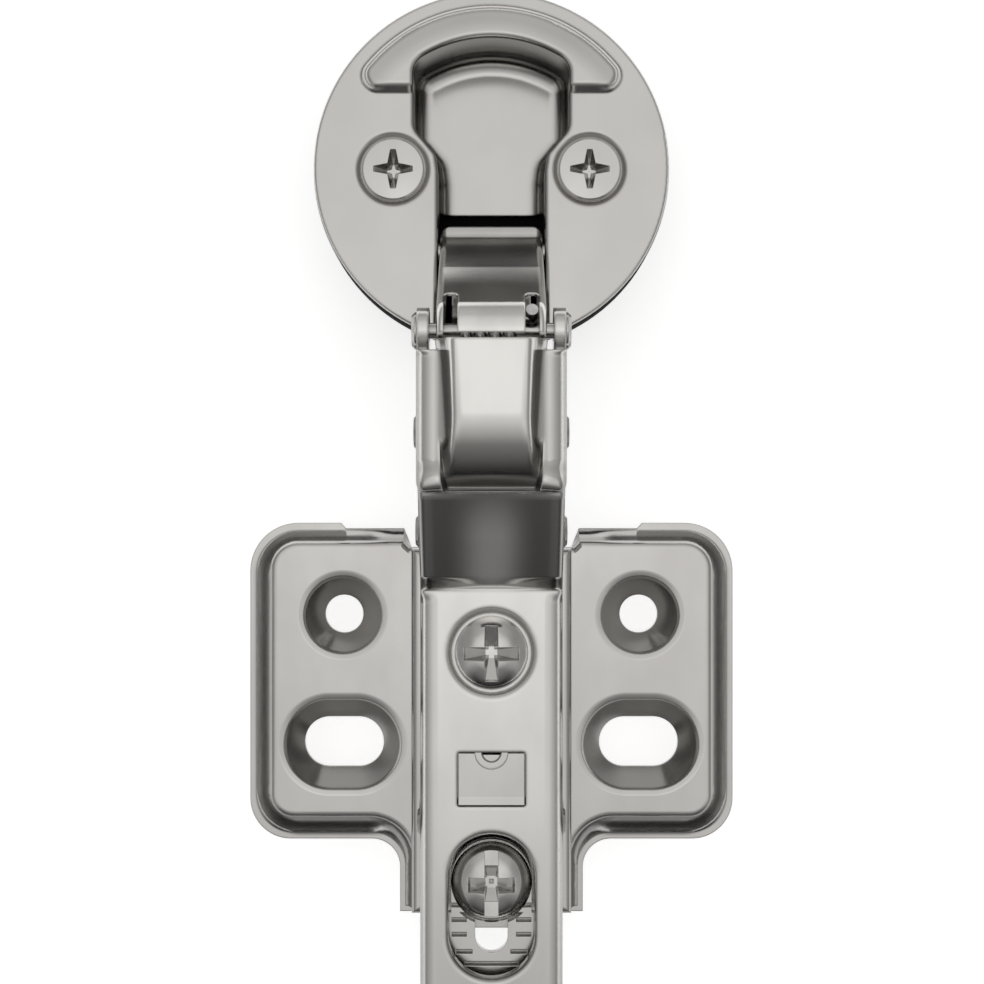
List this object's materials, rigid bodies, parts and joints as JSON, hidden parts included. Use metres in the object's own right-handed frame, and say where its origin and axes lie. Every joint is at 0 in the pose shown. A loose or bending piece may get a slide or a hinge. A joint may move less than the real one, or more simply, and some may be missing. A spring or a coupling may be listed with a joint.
{
  "type": "concealed cup hinge",
  "caption": "Concealed cup hinge shown open: wing mounting plate, cranked arm on a sliding carriage, two links and a round screw-on cup for a cabinet door.",
  "frame": {"origin": "on the plane the mounting plate rests on, midway between the two round fixing holes", "axes": "+Y along the arm from the plate to the cup, +Z away from the panel the plate is screwed to, +X across the hinge to the right when seen from the front"},
  "size_m": [0.0524, 0.1083, 0.0276],
  "materials": {
    "plated_steel": "bright nickel plate, slightly warm",
    "screw_steel": "bright nickel plate",
    "pin_steel": "satin",
    "spring_wire": "drawn wire",
    "black_plastic": "moulded, matt"
  },
  "bodies": {
    "plate": {"mounting_plate": "plated_steel", "clamp_nut": "plated_steel"},
    "clamp": {"clamp_screw": "screw_steel"},
    "carriage": {"carriage": "plated_steel", "tilt_pin": "pin_steel"},
    "arm": {"hinge_arm": "plated_steel", "front_pin": "pin_steel", "inner_link_pin": "pin_steel", "stop_pin": "pin_steel"},
    "side_screw": {"side_adjust_screw": "screw_steel"},
    "outer_link": {"outer_link": "plated_steel", "torsion_spring": "spring_wire"},
    "cup": {"cup": "plated_steel", "cup_bush": "black_plastic", "cup_screw_left": "screw_steel", "cup_screw_right": "screw_steel", "cup_pin_outer": "pin_steel", "cup_pin_inner": "pin_steel"},
    "inner_link": {"inner_link": "plated_steel"}
  },
  "joints": [
    {"name": "depth_slide", "type": "slide", "parent": "plate", "child": "carriage", "axis": [0, 1, 0], "range_m": [-0.0008, 0.0045]},
    {"name": "side_tilt", "type": "hinge", "parent": "carriage", "child": "arm", "pos_m": [0, -0.0212, 0.0071], "axis": [1, 0, 0], "range_deg": [-1.7, 1.7]},
    {"name": "outer_link_swing", "type": "hinge", "parent": "arm", "child": "outer_link", "pos_m": [0, 0.0292, 0.0163], "axis": [1, 0, 0], "range_deg": [-41, 0]},
    {"name": "cup_swing", "type": "hinge", "parent": "outer_link", "child": "cup", "pos_m": [0, 0.03884, 0.0031], "axis": [1, 0, 0], "range_deg": [0, 132.94]},
    {"name": "inner_link_swing", "type": "hinge", "parent": "cup", "child": "inner_link", "pos_m": [0, 0.03522, 0.00355], "axis": [1, 0, 0], "range_deg": [-126.5, 0]},
    {"name": "clamp_turn", "type": "hinge", "parent": "plate", "child": "clamp", "pos_m": [0, -0.02725, 0.006], "axis": [0, 0, 1], "continuous": true},
    {"name": "side_screw_turn", "type": "hinge", "parent": "arm", "child": "side_screw", "pos_m": [0, -0.0033, 0.008], "axis": [0, 0, 1], "continuous": true}
  ],
  "couplings": [
    {"joint": "outer_link_swing", "follows": "cup_swing", "ratio": -0.30796},
    {"joint": "inner_link_swing", "follows": "cup_swing", "ratio": -0.94989}
  ]
}
